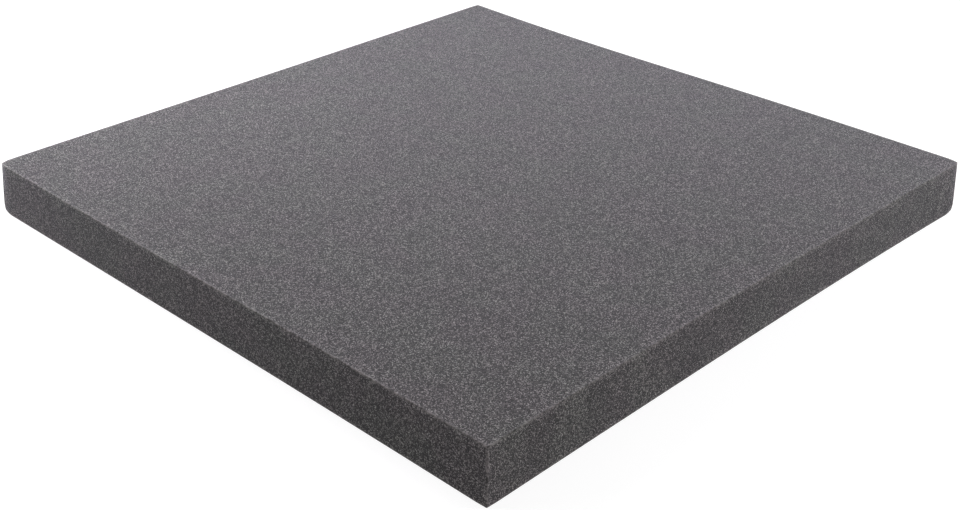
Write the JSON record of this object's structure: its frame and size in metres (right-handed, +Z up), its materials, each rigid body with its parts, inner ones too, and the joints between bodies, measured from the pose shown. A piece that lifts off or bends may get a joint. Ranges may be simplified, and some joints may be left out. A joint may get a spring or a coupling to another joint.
{
  "type": "foam tray insert",
  "caption": "Square pad of dark grey open-cell foam, slit through on a fine square raster so that cubes can be plucked out to make pockets in a tray or box.",
  "frame": {"origin": "centre of the pad's underside", "axes": "+Z up through the thickness, +X to the right face, +Y to the back face, with the front face at -Y"},
  "size_m": [0.295, 0.295, 0.024],
  "materials": {
    "foam": "dark grey open-cell polyurethane foam, dull, with a fine grain of open pores and a faint lighter fuzz along the cut edges"
  },
  "bodies": {
    "root": {"foam_pad": "foam"}
  },
  "joints": []
}
